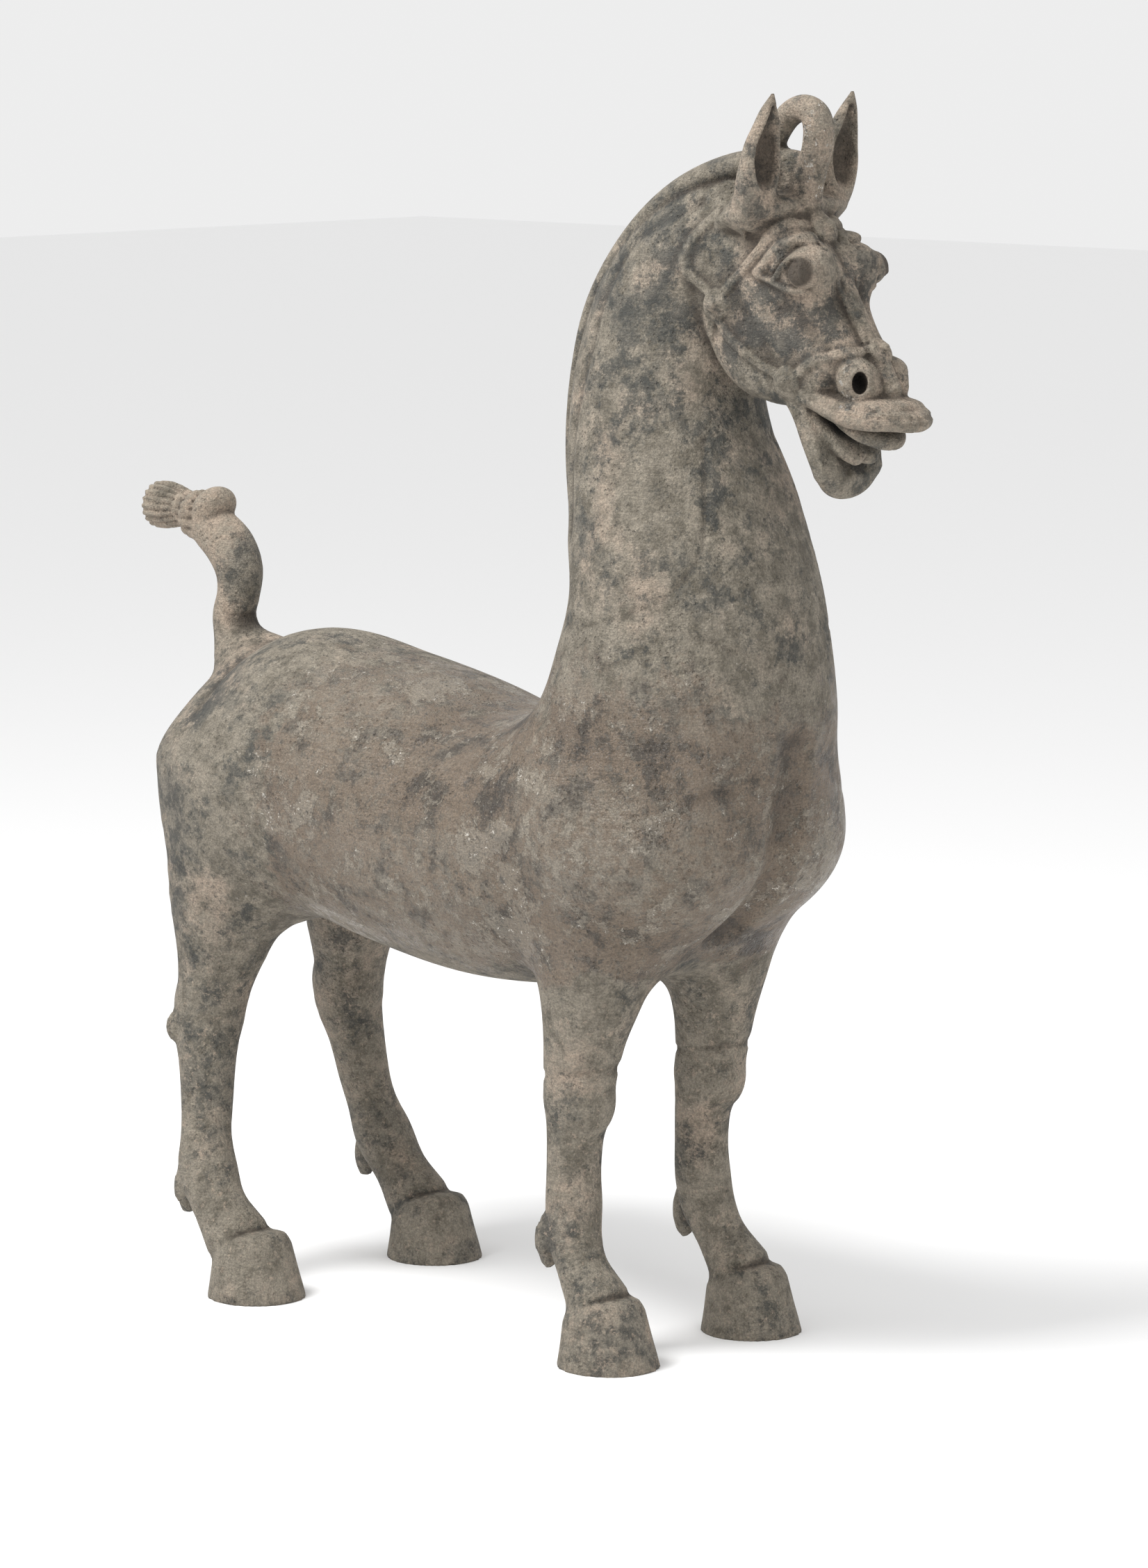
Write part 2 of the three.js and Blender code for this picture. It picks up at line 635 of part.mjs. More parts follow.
// Collapses edges until few enough faces are left. The edge whose loss bends the surface least goes first.
function simplify({ positions, triangles }, wanted) {
  const count = positions.length / 3;
  const place = Array.from({ length: count }, (_, i) => positions.slice(3 * i, 3 * i + 3));
  const quadric = place.map(() => new Float64Array(10));
  const faces = [];
  const around = place.map(() => new Set());
  const normalOf = (a, b, c) => {
    const [ux, uy, uz] = [b[0] - a[0], b[1] - a[1], b[2] - a[2]];
    const [vx, vy, vz] = [c[0] - a[0], c[1] - a[1], c[2] - a[2]];
    return [uy * vz - uz * vy, uz * vx - ux * vz, ux * vy - uy * vx];
  };
  for (let f = 0; f < triangles.length; f += 3) {
    const [a, b, c] = triangles.slice(f, f + 3);
    const n = normalOf(place[a], place[b], place[c]);
    const area = hypot(...n);
    if (area > 0) {
      const [x, y, z] = n.map((v) => v / area);
      const w = -(x * place[a][0] + y * place[a][1] + z * place[a][2]);
      const q = [x * x, x * y, x * z, x * w, y * y, y * z, y * w, z * z, z * w, w * w];
      for (const v of [a, b, c]) q.forEach((s, m) => (quadric[v][m] += s * area));
    }
    for (const v of [a, b, c]) around[v].add(faces.length);
    faces.push([a, b, c]);
  }
  const errorAt = (q, [x, y, z]) =>
    q[0] * x * x + 2 * q[1] * x * y + 2 * q[2] * x * z + 2 * q[3] * x + q[4] * y * y +
    2 * q[5] * y * z + 2 * q[6] * y + q[7] * z * z + 2 * q[8] * z + q[9];
  const best = (a, b) => {
    const q = quadric[a].map((s, m) => s + quadric[b][m]);
    const choices = [place[a], place[b], place[a].map((s, m) => (s + place[b][m]) / 2)];
    const d = new THREE.Matrix3().set(q[0], q[1], q[2], q[1], q[4], q[5], q[2], q[5], q[7]);
    const trace = q[0] + q[4] + q[7];
    if (abs(d.determinant()) > 1e-4 * trace ** 3) {
      const solved = new THREE.Vector3(-q[3], -q[6], -q[8]).applyMatrix3(d.invert());
      choices.unshift(solved.toArray());
    }
    const costs = choices.map((c) => errorAt(q, c));
    const pick = costs.indexOf(min(...costs));
    const [p, r] = [place[a], place[b]];
    const length = (p[0] - r[0]) ** 2 + (p[1] - r[1]) ** 2 + (p[2] - r[2]) ** 2;
    return { cost: max(costs[pick], 0) + 1e-4 * length * length, to: choices[pick] };
  };
  const neighbours = (v) => {
    const near = new Set();
    for (const f of around[v]) for (const u of faces[f]) if (u !== v) near.add(u);
    return near;
  };
  const stamp = new Uint32Array(count);
  const heap = [];
  const swap = (i, j) => ([heap[i], heap[j]] = [heap[j], heap[i]]);
  const push = (item) => {
    heap.push(item);
    for (let i = heap.length - 1; i > 0; ) {
      const up = (i - 1) >> 1;
      if (heap[up].cost <= heap[i].cost) break;
      swap(i, up);
      i = up;
    }
  };
  const pop = () => {
    const top = heap[0];
    const last = heap.pop();
    if (heap.length) {
      heap[0] = last;
      for (let i = 0; ; ) {
        const l = 2 * i + 1;
        if (l >= heap.length) break;
        const s = l + 1 < heap.length && heap[l + 1].cost < heap[l].cost ? l + 1 : l;
        if (heap[i].cost <= heap[s].cost) break;
        swap(i, s);
        i = s;
      }
    }
    return top;
  };
  const queue = (a, b) => push({ ...best(a, b), a, b, sa: stamp[a], sb: stamp[b] });
  faces.forEach((f) => [0, 1, 2].forEach((m) => f[m] < f[(m + 1) % 3] && queue(f[m], f[(m + 1) % 3])));
  const keepsShape = (v, other, to) => {
    for (const f of around[v]) {
      if (faces[f].includes(other)) continue;
      const before = faces[f].map((u) => place[u]);
      const after = faces[f].map((u) => (u === v ? to : place[u]));
      const n = normalOf(...before);
      const m = normalOf(...after);
      const [ln, lm] = [hypot(...n), hypot(...m)];
      if (lm < 1e-3 || n[0] * m[0] + n[1] * m[1] + n[2] * m[2] < 0.3 * ln * lm) return false;
    }
    return true;
  };
  let left = faces.length;
  while (left > wanted && heap.length) {
    const { a, b, sa, sb, to } = pop();
    if (stamp[a] !== sa || stamp[b] !== sb) continue;
    const nearB = neighbours(b);
    const shared = [...neighbours(a)].filter((v) => nearB.has(v));
    if (shared.length !== 2 || !keepsShape(a, b, to) || !keepsShape(b, a, to)) continue;
    place[a] = to;
    quadric[b].forEach((s, m) => (quadric[a][m] += s));
    for (const f of [...around[b]]) {
      if (faces[f].includes(a)) {
        faces[f].forEach((v) => around[v].delete(f));
        faces[f] = null;
        left--;
      } else {
        faces[f] = faces[f].map((v) => (v === b ? a : v));
        around[a].add(f);
      }
    }
    around[b].clear();
    stamp[b]++;
    stamp[a]++;
    for (const v of neighbours(a)) queue(min(a, v), max(a, v));
  }
  return { place, faces: faces.filter(Boolean) };
}

// The solid in millimetres, its box centred over the origin and its hooves on the ground.
function solid() {
  const form = roomOf(work);
  const head = roomOf(headMasses);
  const xs = gridLines(form.min.x, form.max.x, head.min.x, head.max.x);
  const ys = gridLines(-form.max.y, form.max.y, -head.max.y, head.max.y);
  const zs = [-1, ...gridLines(0, form.max.z, head.min.z, head.max.z)];
  const fine = surface(xs, ys, zs);
  const { place, faces } = simplify(fine, triangleCount);
  const used = new Map();
  const positions = [];
  const number = (v) => {
    if (!used.has(v)) {
      used.set(v, used.size);
      positions.push(place[v][0], place[v][1], place[v][2] < 0.05 ? 0 : place[v][2]);
    }
    return used.get(v);
  };
  const index = faces.flatMap((f) => f.map(number));
  const geometry = new THREE.BufferGeometry();
  geometry.setAttribute("position", new THREE.Float32BufferAttribute(positions, 3));
  geometry.setIndex(index);
  geometry.computeBoundingBox();
  const { min: low, max: high } = geometry.boundingBox;
  geometry.translate(-(low.x + high.x) / 2, -(low.y + high.y) / 2, -low.z);
  const scale = figureHeight / (high.z - low.z);
  geometry.scale(scale, scale, scale);
  geometry.computeVertexNormals();
  return geometry;
}

const horse = new THREE.Mesh(
  solid(),
  new THREE.MeshStandardMaterial({ color: clayColour, roughness: 0.82, metalness: 0 }),
);
horse.name = "horse";

const figure = new THREE.Group();
figure.add(horse);

export default figure;
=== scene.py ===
"""A painted pottery horse, standing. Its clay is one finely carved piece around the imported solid."""

import math

import bpy
import numpy as np
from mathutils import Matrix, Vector


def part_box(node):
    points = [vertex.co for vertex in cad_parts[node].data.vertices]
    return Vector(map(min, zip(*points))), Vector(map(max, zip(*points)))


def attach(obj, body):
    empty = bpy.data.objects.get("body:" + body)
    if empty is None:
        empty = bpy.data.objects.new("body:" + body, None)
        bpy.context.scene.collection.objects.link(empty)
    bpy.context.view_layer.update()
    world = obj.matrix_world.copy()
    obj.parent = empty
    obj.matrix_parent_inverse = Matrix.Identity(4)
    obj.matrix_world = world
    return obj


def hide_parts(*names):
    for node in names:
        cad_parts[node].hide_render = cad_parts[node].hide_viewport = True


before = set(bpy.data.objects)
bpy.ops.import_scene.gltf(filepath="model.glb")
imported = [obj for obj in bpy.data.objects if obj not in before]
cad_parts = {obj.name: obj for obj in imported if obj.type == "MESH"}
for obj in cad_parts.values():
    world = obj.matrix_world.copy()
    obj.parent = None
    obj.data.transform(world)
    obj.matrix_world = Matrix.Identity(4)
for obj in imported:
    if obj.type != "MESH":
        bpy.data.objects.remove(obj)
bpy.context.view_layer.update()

# The form is a blend of rounded masses placed in thousandths of the figure's height. x runs forward,
# y to the horse's left, z up. Masses are given for the left side and stand on both.

# Grid cells in the same thousandths: small on the head, larger on the body.
HEAD_CELL = 1.25
TAIL_CELL = 2.0
BODY_CELL = 4.0
CELL_GROWTH = 0.12
BLOCK = 4
MOST_TRIANGLES = 196000

# A line is laid on the clay by stepping down the field's slope, found over a short reach.
LAYING_ROUNDS = 4
SLOPE_REACH = 0.5
LEAST_SLOPE = 0.2
DRAWN_DEPTH = 40
SIDE_FROM, SIDE_TO = 20, 200

# Rounds of smoothing that tell the near surroundings of a vertex, and then its wider ones.
SMOOTHING_ROUNDS = (2, 14)


def catmull(points, steps, even):
    """Points on a smooth curve through the given ones, and the curve's direction at each."""
    p = np.array(points, float)
    p = np.vstack([2 * p[0] - p[1], p, 2 * p[-1] - p[-2]])
    spots, ways = [], []
    for i in range(1, len(p) - 2):
        a, b, c, d = p[i - 1 : i + 3]
        gaps = [1.0] * 3
        if not even:
            gaps = [max(np.linalg.norm(v), 1e-8) ** 0.5 for v in (b - a, c - b, d - c)]
        ta = ((b - a) / gaps[0] - (c - a) / (gaps[0] + gaps[1]) + (c - b) / gaps[1]) * gaps[1]
        tb = ((c - b) / gaps[1] - (d - b) / (gaps[1] + gaps[2]) + (d - c) / gaps[2]) * gaps[1]
        last = i == len(p) - 3
        for k in range(steps + last):
            t = k / steps
            c2 = 3 * (c - b) - 2 * ta - tb
            c3 = 2 * (b - c) + ta + tb
            spots.append(b + t * (ta + t * (c2 + t * c3)))
            ways.append(ta + t * (2 * c2 + 3 * t * c3))
    return np.array(spots), np.array(ways)


def squashed(u, v, w, a, b, c, power):
    """Roughly the distance to an ellipsoid, or to a squarer form where power is over 2."""
    e = power / 2
    s = (u / a) ** 2 + 1e-9
    t = (v / b) ** 2 + 1e-9
    if e == 1:
        ring = s + t
        gs = gt = 1.0
    else:
        total = s**e + t**e
        ring = total ** (1 / e)
        gs = ring / total * s ** (e - 1)
        gt = ring / total * t ** (e - 1)
    size = np.sqrt(ring + (w / c) ** 2)
    slope = np.sqrt((gs * u / a**2) ** 2 + (gt * v / b**2) ** 2 + (w / c**2) ** 2)
    return np.where(size < 1e-3, -np.minimum(a, b), size * (size - 1) / np.maximum(slope, 1e-9))


def nearest_on(points, p):
    """For each p: the distance to a polyline, the segment it is nearest to and how far along that is."""
    best = np.full(len(p), np.inf)
    at = np.zeros(len(p), int)
    part = np.zeros(len(p))
    for i in range(len(points) - 1):
        a = points[i]
        d = points[i + 1] - a
        r = p - a
        t = np.clip((r @ d) / (d @ d), 0, 1)
        gap = ((r - t[:, None] * d) ** 2).sum(1)
        nearer = gap < best
        best[nearer] = gap[nearer]
        at[nearer] = i
        part[nearer] = t[nearer]
    return np.sqrt(best), at, part


class Mass:
    """A distance to a shape, and a box that holds the shape."""

    def __init__(self, points, reach, distance):
        points = np.atleast_2d(points)
        self.low = points.min(0) - reach
        self.high = points.max(0) + reach
        self.distance = distance

    def gap(self, p):
        """How far each point lies outside the box."""
        out = np.maximum(np.maximum(self.low - p, p - self.high), 0)
        return np.sqrt((out**2).sum(1))


def limb(stations, steps=3, power=2.0, tip=1.0):
    """A limb along a path. A station is x, y, z, half width across the horse, reach right, reach left."""
    rows = [list(s) + [s[4]] * (6 - len(s)) for s in stations]
    rows = np.array(rows, float)
    spots, ways = catmull(rows[:, :3], steps, False)
    girth, _ = catmull(rows[:, 3:], steps, True)
    ways /= np.linalg.norm(ways, axis=1)[:, None]
    across = np.array([0, 1.0, 0]) - ways[:, 1:2] * ways
    across /= np.linalg.norm(across, axis=1)[:, None]
    right = np.cross(across, ways)
    table = np.hstack([spots, across, right, ways, girth])

    def distance(p):
        _, at, part = nearest_on(spots, p)
        row = table[at] + part[:, None] * (table[at + 1] - table[at])
        r = p - row[:, :3]
        u = (r * row[:, 3:6]).sum(1)
        v = (r * row[:, 6:9]).sum(1)
        w = (r * row[:, 9:12]).sum(1)
        side = row[:, 12]
        deep = np.where(v > 0, row[:, 13], row[:, 14])
        return squashed(u, v, w, side, deep, tip * np.minimum(side, deep), power)

    return Mass(spots, rows[:, 3:].max(), distance)


def turned(degrees):
    """The axes of a thing turned by degrees about x, y and z."""
    (cx, cy, cz), (sx, sy, sz) = np.cos(np.radians(degrees)), np.sin(np.radians(degrees))
    about_x = np.array([[1, 0, 0], [0, cx, -sx], [0, sx, cx]])
    about_y = np.array([[cy, 0, sy], [0, 1, 0], [-sy, 0, cy]])
    about_z = np.array([[cz, -sz, 0], [sz, cz, 0], [0, 0, 1]])
    return about_x @ about_y @ about_z


def ball(centre, half, turn=(0, 0, 0), power=2.0):
    """An ellipsoid with its half sizes along its own x, y and z, turned by degrees about each."""
    m = turned(turn)
    half = [float(h) for h in half]

    def distance(p):
        r = (p - np.array(centre, float)) @ m
        return squashed(r[:, 0], r[:, 1], r[:, 2], half[0], half[1], half[2], power)

    return Mass(centre, max(half) * (1.0 if power == 2 else 1.3), distance)


def line(places, steps=4):
    """A line laid on the clay as it is so far."""
    spots, _ = catmull(places, steps, True)
    for _ in range(LAYING_ROUNDS):
        d = clay(spots)
        slope = np.stack([(clay(spots + step) - d) / SLOPE_REACH for step in np.eye(3) * SLOPE_REACH], -1)
        spots = spots - slope * (d / np.maximum((slope**2).sum(1), LEAST_SLOPE))[:, None]
    return Mass(spots, 0, lambda p: nearest_on(spots, p)[0])


def side_line(places, steps=4):
    """A line drawn on the horse's sides, as deep in y as the clay is there."""
    spots, _ = catmull([[x, 0, z] for x, z in places], steps, True)
    mass = Mass(spots, 0, lambda p: nearest_on(spots, p * [1, 0, 1])[0])
    mass.low[1], mass.high[1] = SIDE_FROM, SIDE_TO
    return mass


work = []


def add(mass, seam):
    work.append(("add", mass, seam, 0))


def cut(mass, seam):
    work.append(("cut", mass, seam, 0))


def draw(mass, width, rise):
    """A raised line, or a sunken one where rise is negative."""
    work.append(("draw", mass, width, rise))


def soften(a, b, seam):
    """The smaller of two distances, with a seam that rounds the corner between them."""
    h = np.maximum(seam - np.abs(a - b), 0) / seam
    return np.minimum(a, b) - h * h * seam / 4


def clay(p):
    """Distance from points to the clay, negative inside."""
    p = p.copy()
    p[:, 1] = np.abs(p[:, 1])
    d = np.full(len(p), 1e3)
    for kind, mass, seam, rise in work:
        far = mass.gap(p)
        if kind == "add":
            use = far <= d + seam
        else:
            use = far <= seam + np.maximum(0, -d)
        if kind == "draw":
            use = (far <= seam) & (np.abs(d) < DRAWN_DEPTH)
        if not use.any():
            continue
        e = mass.distance(p[use])
        if kind == "add":
            d[use] = soften(d[use], e, seam)
        elif kind == "cut":
            d[use] = -soften(-d[use], e, seam)
        else:
            d[use] -= rise * np.maximum(1 - (e / seam) ** 2, 0) ** 2
    return d


# The head hangs from the brow: down runs along the nose, back runs from the nose to the throat.
BROW_X, BROW_Z = 314.0, 893.0
NOSE_LEAN = 32.7
DOWN_X = math.sin(math.radians(NOSE_LEAN))
DOWN_Z = math.cos(math.radians(NOSE_LEAN))
FACE_TURN = (0, -NOSE_LEAN, 0)


def face(down, back, side=0.0):
    """A place on the head, from the brow."""
    return [BROW_X + down * DOWN_X - back * DOWN_Z, side, BROW_Z - down * DOWN_Z - back * DOWN_X]


def trunk():
    # Rump to shoulder: the right hand is the belly and the left hand is the back.
    add(limb([
        [-296, 0, 424, 93, 82, 98],
        [-243, 0, 422, 119, 112, 123],
        [-170, 0, 414, 129, 108, 120],
        [-90, 0, 402, 133, 112, 116],
        [-10, 0, 396, 136, 116, 102],
        [70, 0, 402, 135, 117, 104],
        [140, 0, 412, 128, 114, 110],
    ], steps=8, power=2.15, tip=0.66), 1)


def neck_and_chest():
    add(limb([
        [160, 0, 430, 126, 112, 106],
        [172, 0, 520, 115, 121, 101],
        [178, 0, 600, 102, 105, 87],
        [173, 0, 660, 91, 89, 92],
        [159, 0, 720, 77, 79, 86],
        [157, 0, 775, 67, 74, 79],
        [171, 0, 830, 58, 70, 70],
        [206, 0, 872, 50, 58, 60],
        [252, 0, 897, 42, 46, 46],
    ], steps=14, power=2.1, tip=0.5), 46)
    add(ball([183, 50, 414], [75, 73, 65], [0, 10, 8]), 56)
    draw(line([[322, 0, 486], [300, 0, 430], [268, 0, 372], [225, 0, 325]]), 24, -8)


def mane():
    add(limb([
        [78, 4, 585, 12, 12, 12],
        [72, 6, 650, 14, 12, 12],
        [70, 8, 715, 16, 12, 12],
        [79, 9, 775, 19, 12, 12],
        [99, 10, 830, 22, 12, 12],
        [138, 10, 882, 24, 12, 12],
        [186, 10, 919, 25, 12, 12],
        [234, 8, 938, 24, 12, 12],
        [268, 4, 942, 20, 12, 12],
    ], steps=6, tip=0.6), 4)


def incised_lines():
    crease = [[223, 25, 905], [166, 30, 876], [139, 40, 836], [129, 50, 798], [121, 55, 766], [114, 60, 717],
              [118, 70, 653]]
    draw(line(crease), 9, -2.6)
    seam_line = [[118, 78, 583], [170, 100, 588], [225, 95, 608], [248, 80, 634], [258, 70, 665],
                 [256, 60, 737]]
    draw(line(seam_line), 5, -1.8)
    draw(line([[187, 118, 559], [227, 105, 578], [250, 90, 587], [285, 60, 574]]), 5, -1.1)
    draw(line([[245, 118, 437], [280, 95, 461], [300, 70, 462]]), 6, -1)
    draw(side_line([[98, 227], [130, 229], [168, 236]]), 5, -2.2)


def foreleg():
    add(limb([
        [150, 61, 380, 56, 66, 60],
        [144, 69, 335, 50, 55, 54],
        [139, 73, 290, 41, 41, 42],
        [135, 76, 258, 33, 32, 34],
        [131, 77, 225, 29, 28, 30],
        [130, 76, 203, 28, 29, 27],
        [125, 75, 180, 23, 23, 23],
        [123, 75, 150, 21.5, 21.5, 22],
        [124, 76, 122, 22.5, 22.5, 23],
        [128, 79, 98, 22, 22, 21],
        [139, 82, 75, 21, 20, 19],
        [158, 84, 50, 26, 25, 24],
    ], tip=0.5), 26)
    add(ball([148, 77, 206], [12, 20, 24]), 3)
    spur([102, 80, 92], [0, 4, 0])
    hoof(170, 84.4)


def hind_leg():
    add(limb([
        [-250, 54, 415, 77, 100, 100],
        [-260, 64, 362, 66, 77, 74],
        [-269, 74, 318, 48, 58, 51],
        [-277, 76, 280, 38, 42, 36],
        [-283, 79, 250, 31, 33, 29],
        [-291, 82, 218, 29, 27, 32],
        [-286, 87, 186, 24, 23, 25],
        [-281, 92, 150, 21.5, 21.5, 22],
        [-277, 97, 126, 21, 21, 21.5],
        [-269, 103, 98, 25, 24, 25],
        [-252, 106, 70, 23, 21, 23],
        [-232, 106, 47, 28, 25, 27],
    ], tip=0.72), 36)
    add(ball([-313, 80, 233], [11, 12, 22]), 12)
    add(ball([-306, 107, 214], [8, 4, 12]), 2)
    spur([-290, 104, 82], [0, 8, 0])
    hoof(-209, 104.6)


def spur(centre, turn):
    add(ball(centre, [12, 9, 25], turn), 5)
    add(ball([centre[0] + 8, centre[1] + 17, centre[2] + 4], [8, 4, 16], turn), 2)


def hoof(x, y):
    add(limb([
        [x - 6, y, 47, 29, 30, 30],
        [x - 5, y, 41, 32, 33, 33],
        [x - 3, y, 20, 36, 37, 37],
        [x - 1, y, 0, 40, 42, 41],
        [x, y, -12, 42, 44, 43],
    ], tip=0.25), 3)


def tail():
    add(limb([
        [-312, 0, 500, 44, 44, 44],
        [-334, 0, 528, 22, 22, 24],
        [-340, 0, 548, 18, 18, 19],
        [-335, 0, 566, 18, 18, 18],
        [-334, 0, 586, 20, 20, 20],
        [-344, 0, 604, 21, 21, 21],
        [-361, 0, 617, 20, 20, 20],
        [-378, 0, 626, 18, 18, 18],
    ], steps=5), 12)
    add(ball([-364, 0, 637], [14, 21, 19], [0, 35, 0]), 4)
    add(ball([-384, 0, 630], [11, 21, 21], [0, 10, 0]), 4)
    add(limb([
        [-392, 0, 632, 15, 15, 15],
        [-404, 0, 634, 17, 17, 17],
        [-418, 0, 635, 20, 20, 20],
        [-432, 0, 635, 20, 20, 20],
    ], tip=0.3), 4)
    draw(strands(-440, -402, 635, 9), 2.6, -2.2)
    draw(strands(-399, -374, 632, 7), 2.4, -1.4)


def strands(low, high, z, count):
    """Grooves that run along the tail, spread evenly round a point in y and z."""
    def distance(p):
        angle = np.arctan2(p[:, 2] - z, p[:, 1]) * count / math.pi + 0.5
        return np.abs(angle - np.round(angle)) * math.pi / count * np.hypot(p[:, 1], p[:, 2] - z)

    return Mass([[low, 0, z - 32], [high, 32, z + 32]], 0, distance)


def skull():
    add(limb([
        [*face(-36, 82), 43, 30, 22],
        [*face(-18, 74), 46, 42, 34],
        [*face(6, 70), 47, 48, 38],
        [*face(30, 70), 47, 53, 38],
        [*face(50, 68), 46, 54, 36],
        [*face(68, 60), 43, 48, 34],
        [*face(86, 50), 41, 39, 28],
        [*face(104, 40), 39, 27, 24],
    ], steps=5, power=4, tip=0.6), 8)
    add(limb([
        [*face(-16, 38), 40, 40, 34],
        [*face(6, 34), 44, 40, 33],
        [*face(28, 32), 43, 36, 30],
        [*face(48, 30), 37, 34, 25],
        [*face(72, 27), 30, 28, 20],
        [*face(100, 24), 27, 24, 17],
        [*face(134, 20), 26, 20, 15],
    ], steps=5, power=2.9, tip=0.5), 12)
    add(limb([
        [*face(2, 8), 11, 8, 8],
        [*face(40, 7), 10, 8, 8],
        [*face(80, 7), 9, 8, 8],
        [*face(107, 7), 8, 8, 8],
        [*face(138, 8), 8, 8, 8],
    ], power=3, tip=0.6), 2)
    draw(line([face(10, -2, 10), face(50, -1, 9), face(98, 0, 7.5)]), 3.6, -1.8)
    draw(side_line([[274, 854], [283, 843], [291, 831], [299, 820], [307, 808]]), 11, 1.4)


def eye():
    add(ball(face(28, 9, 26), [20, 17, 20], FACE_TURN), 18)
    cut(ball(face(33, 4, 50), [15, 10, 12.5], FACE_TURN), 2)
    add(ball(face(33, 5, 37), [13, 13, 12.5], FACE_TURN), 1)
    outer_roll = [[289, 862], [298, 874], [307, 883], [317, 888]]
    groove = [[303, 861], [310, 871], [318, 880], [326, 883], [332, 879]]
    upper_lid = [[304, 858], [310, 865], [318, 873], [327, 875], [333, 870], [335, 860]]
    lower_lid = [[291, 859], [304, 854], [317, 849], [329, 848]]
    draw(side_line(outer_roll), 6.5, 3.4)
    draw(side_line(groove), 3.4, -2)
    draw(side_line(upper_lid), 3.8, 3.2)
    draw(side_line(lower_lid), 4, 3)


def ear():
    add(limb([
        [277, 39, 901, 14, 8, 25],
        [280, 42, 909, 15.5, 9, 21],
        [284, 44, 918, 17.5, 11, 17],
        [286, 45, 927, 18.5, 12, 16],
        [289, 45, 940, 19, 11, 15],
        [291, 45, 956, 17, 10, 12],
        [295, 45, 970, 12.5, 9, 10],
        [299, 46, 983, 7.5, 5, 7.5],
        [302, 46, 996, 1.5, 1.5, 1.5],
    ], steps=5, tip=0.8), 8)
    cut(limb([
        [301, 45, 921, 8, 8, 5],
        [302, 45, 931, 12.5, 12, 15],
        [303, 45, 943, 15, 12, 19],
        [304, 45, 957, 14, 12, 17],
        [305, 45, 970, 9.5, 10, 12],
        [305, 45, 985, 3.5, 8, 6],
    ], steps=5, tip=0.9), 1.5)


def forelock():
    add(limb([
        [294, 0, 894, 17, 17, 18],
        [296, 0, 912, 13, 12, 13],
        [298, 0, 925, 11.5, 11.5, 11.5],
        [302, 0, 940, 12, 11.5, 11.5],
        [307, 0, 956, 12.5, 11.5, 11.5],
        [308, 0, 970, 12.5, 11.5, 11.5],
        [304, 0, 980, 12, 11, 11],
        [294, 0, 984.5, 11, 10.5, 10.5],
        [281, 0, 981, 10, 10, 10],
        [267, 0, 967, 10, 10, 10],
        [257, 0, 949, 11, 11, 11],
        [250, 0, 928, 13, 13, 13],
    ], steps=5), 6)
    add(limb([
        [276, 0, 896, 15, 30, 30],
        [277, 0, 922, 11, 27, 27],
        [278, 0, 947, 9, 22, 22],
    ], tip=0.7), 5)
    add(ball([270, 0, 904], [36, 55, 13], [0, -14, 0], 3), 5)


def nostril():
    add(ball([366.5, 20, 782], [13, 15.5, 16], [0, 0, 44]), 6)
    cut(ball([380.5, 34, 781.5], [9.5, 10, 12], [0, 0, 44]), 1.2)
    cut(ball([373, 26, 781], [15, 6, 8.5], [0, 0, 44]), 1.5)


def lips():
    add(ball([374, 0, 762], [26, 35, 8]), 5)
    add(limb([
        [318, 31, 772, 9, 7, 7],
        [334, 29, 766, 12, 7, 8],
        [350, 28, 760, 13, 8, 9],
        [366, 27, 756, 14, 9, 10],
        [381, 22, 754, 15, 9, 10],
        [393, 13, 753, 15, 8, 9],
        [400, 0, 752, 15, 8, 8],
    ], steps=5, power=2.4, tip=0.75), 4)
    add(limb([
        [338, 25, 765, 11, 5, 6],
        [350, 23, 757, 12, 5, 8],
        [360, 20, 748, 12, 5, 9],
        [369, 14, 741, 12, 5, 9],
        [375, 7, 738, 12, 6, 8],
        [377, 0, 737, 12, 6, 8],
    ], steps=5, power=2.4, tip=0.9), 1.5)
    grooves = [
        [[350, 41, 769], [366, 42, 765], [382, 40, 763], [395, 33, 763]],
        [[337, 41, 768], [351, 42, 765], [363, 42, 760], [378, 42, 758], [393, 39, 757], [404, 30, 757],
         [410, 18, 757], [414, 6, 756], [415, 0, 756]],
    ]
    for groove in grooves:
        draw(line(groove), 2.6, -1.8)


def chin():
    add(limb([
        [303, 14, 780, 24, 13, 12],
        [320, 14, 758, 25, 12, 12],
        [331, 14, 734, 25, 11, 12],
        [337, 9, 716, 27, 10, 9],
    ], steps=5, power=2.6, tip=0.9), 5)
    add(ball([339, 0, 711], [10, 32, 22], [0, 10, 0], 2.4), 5)
    cut(limb([
        [345, 6, 758, 28, 12, 19],
        [351, 6, 740, 28, 12, 20],
        [354, 4, 726, 26, 12, 17],
        [355, 0, 717, 22, 12, 12],
    ], steps=5, tip=0.7), 3)
    add(limb([
        [316, 10, 764, 24, 8, 8],
        [332, 10, 747, 23, 8, 8],
        [344, 7, 735, 20, 8, 7],
        [351, 0, 726, 16, 7, 6],
    ], steps=5, power=2.4), 3)
    cut(limb([
        [328, 22, 767, 15, 6, 5],
        [341, 22, 757, 16, 7, 6],
        [353, 20, 745, 16, 7, 6],
        [364, 14, 734, 15, 7, 6],
        [369, 6, 728, 13, 6, 5],
    ], steps=5), 1)
    rim = [[326, 40, 766], [333, 39, 748], [339, 38, 730], [343, 33, 714]]
    draw(line(rim), 4, 1.5)


def boss(place, size, turn, dome=0.42):
    add(ball(place, [size * dome, size, size], turn), 1.5)
    add(ball(place + turned(turn)[:, 0] * size * dome, [size * 0.38] * 3), 2)


